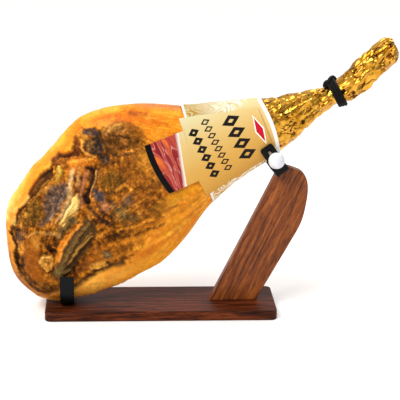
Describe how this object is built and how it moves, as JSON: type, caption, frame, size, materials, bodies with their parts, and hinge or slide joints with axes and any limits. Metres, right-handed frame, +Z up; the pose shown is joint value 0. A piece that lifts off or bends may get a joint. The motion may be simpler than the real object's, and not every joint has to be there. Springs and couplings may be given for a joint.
{
  "type": "whole cured ham on a carving stand",
  "caption": "Whole dry-cured ham with a foil-wrapped shank and a paper sleeve, held by a cradle and a screw clamp on a wooden carving stand.",
  "frame": {"origin": "centre of the base board's underside", "axes": "+Z up, +X along the base board from the cradle to the post, +Y through the ham, away from its lean face"},
  "size_m": [0.6974, 0.1845, 0.4999],
  "materials": {
    "cured_meat": "oily",
    "gold_foil": "crumpled gold foil",
    "sleeve_paper": "coated",
    "label_card": "satin",
    "cord": "braided",
    "board_wood": "varnished",
    "post_wood": "varnished",
    "black_steel": "satin black",
    "screw_steel": "threaded",
    "white_plastic": "gloss"
  },
  "bodies": {
    "ham_on_stand": {"ham": "cured_meat", "foil_wrap": "gold_foil", "paper_sleeve": "sleeve_paper", "front_label": "label_card", "ankle_cord": "cord", "base_board": "board_wood", "post": "post_wood", "cradle": "black_steel", "shank_clamp": "black_steel"},
    "clamp_screw": {"screw_rod": "screw_steel", "ball_knob": "white_plastic"}
  },
  "joints": [
    {"name": "clamp_screw_slide", "type": "slide", "parent": "ham_on_stand", "child": "clamp_screw", "axis": [0.1211, -0.9924, -0.0216], "range_m": [0, 0.004]}
  ]
}
